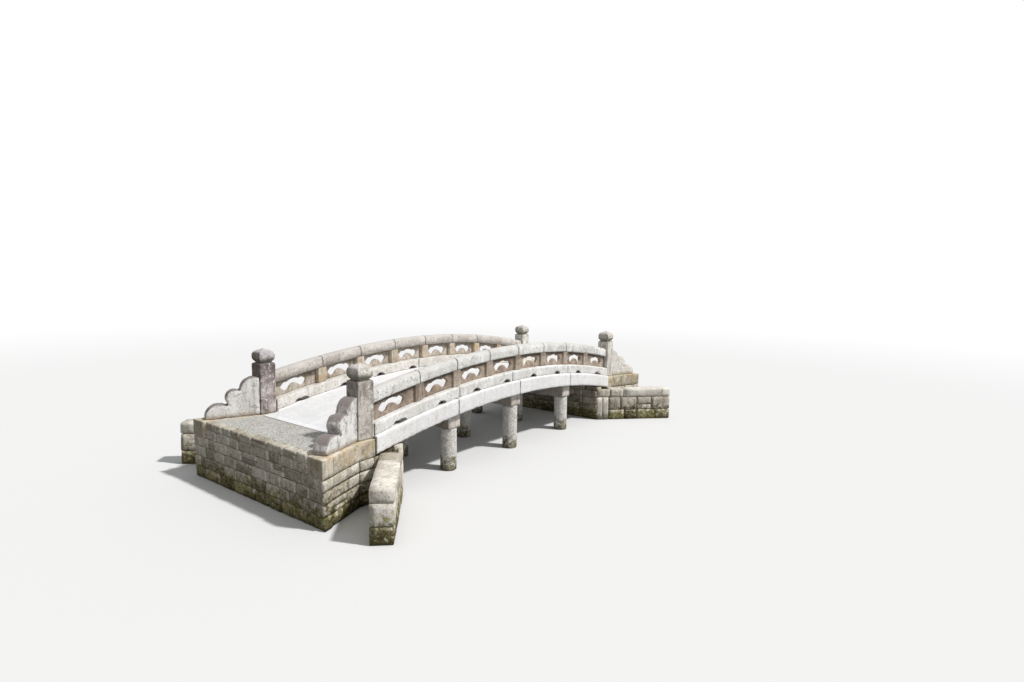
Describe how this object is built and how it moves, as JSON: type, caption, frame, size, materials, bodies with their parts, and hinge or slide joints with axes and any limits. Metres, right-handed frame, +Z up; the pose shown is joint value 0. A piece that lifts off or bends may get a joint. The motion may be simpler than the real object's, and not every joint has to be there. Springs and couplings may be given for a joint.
{
  "type": "arched stone garden bridge",
  "caption": "Arched stone beam bridge with pierced balustrades, capped newel posts, scrolled wing stones, round columns and rubble abutments.",
  "frame": {"origin": "middle of the bridge in plan, at the water line where its columns and walls end", "axes": "+X along the bridge to its right end in the picture, +Y across it to the far balustrade, +Z up"},
  "size_m": [12.3758, 7.1644, 2.725],
  "materials": {
    "rubble_masonry": "mossy squared rubble",
    "kerb_stone": "rough dressed stone",
    "column_stone": "weathered stone, mossy at the foot",
    "beam_stone": "pale dressed stone with dark streaks",
    "deck_stone": "pale worn stone",
    "rail_stone": "pale weathered stone with dark speckle",
    "post_stone": "brownish weathered stone",
    "panel_stone": "brownish weathered stone",
    "cap_stone": "grey stone with lichen",
    "newel_stone": "grey weathered stone with lichen",
    "wing_stone": "light grey stone with brown tops"
  },
  "bodies": {
    "root": {"abutment_left": "rubble_masonry", "abutment_right": "rubble_masonry", "wing_wall_near_left": "rubble_masonry", "wing_wall_near_right": "rubble_masonry", "wing_wall_far_left": "rubble_masonry", "wing_wall_far_right": "rubble_masonry", "kerb_near_left": "kerb_stone", "kerb_near_right": "kerb_stone", "kerb_far_left": "kerb_stone", "kerb_far_right": "kerb_stone", "columns_left": "column_stone", "columns_middle": "column_stone", "columns_right": "column_stone", "cap_beam_left": "beam_stone", "cap_beam_middle": "beam_stone", "cap_beam_right": "beam_stone", "edge_beams_near": "beam_stone", "edge_beams_far": "beam_stone", "deck_1": "deck_stone", "deck_2": "deck_stone", "deck_3": "deck_stone", "deck_4": "deck_stone", "base_course_near": "rail_stone", "base_course_far": "rail_stone", "posts_near": "post_stone", "posts_far": "post_stone", "panels_near_left": "panel_stone", "panels_near_right": "panel_stone", "panels_far_left": "panel_stone", "panels_far_right": "panel_stone", "rail_near": "rail_stone", "rail_far": "rail_stone", "newel_near_left": "newel_stone", "newel_near_right": "newel_stone", "newel_far_left": "newel_stone", "newel_far_right": "newel_stone", "newel_cap_near_left": "cap_stone", "newel_cap_near_right": "cap_stone", "newel_cap_far_left": "cap_stone", "newel_cap_far_right": "cap_stone", "wing_stone_near_left": "wing_stone", "wing_stone_near_right": "wing_stone", "wing_stone_far_left": "wing_stone", "wing_stone_far_right": "wing_stone"}
  },
  "joints": []
}
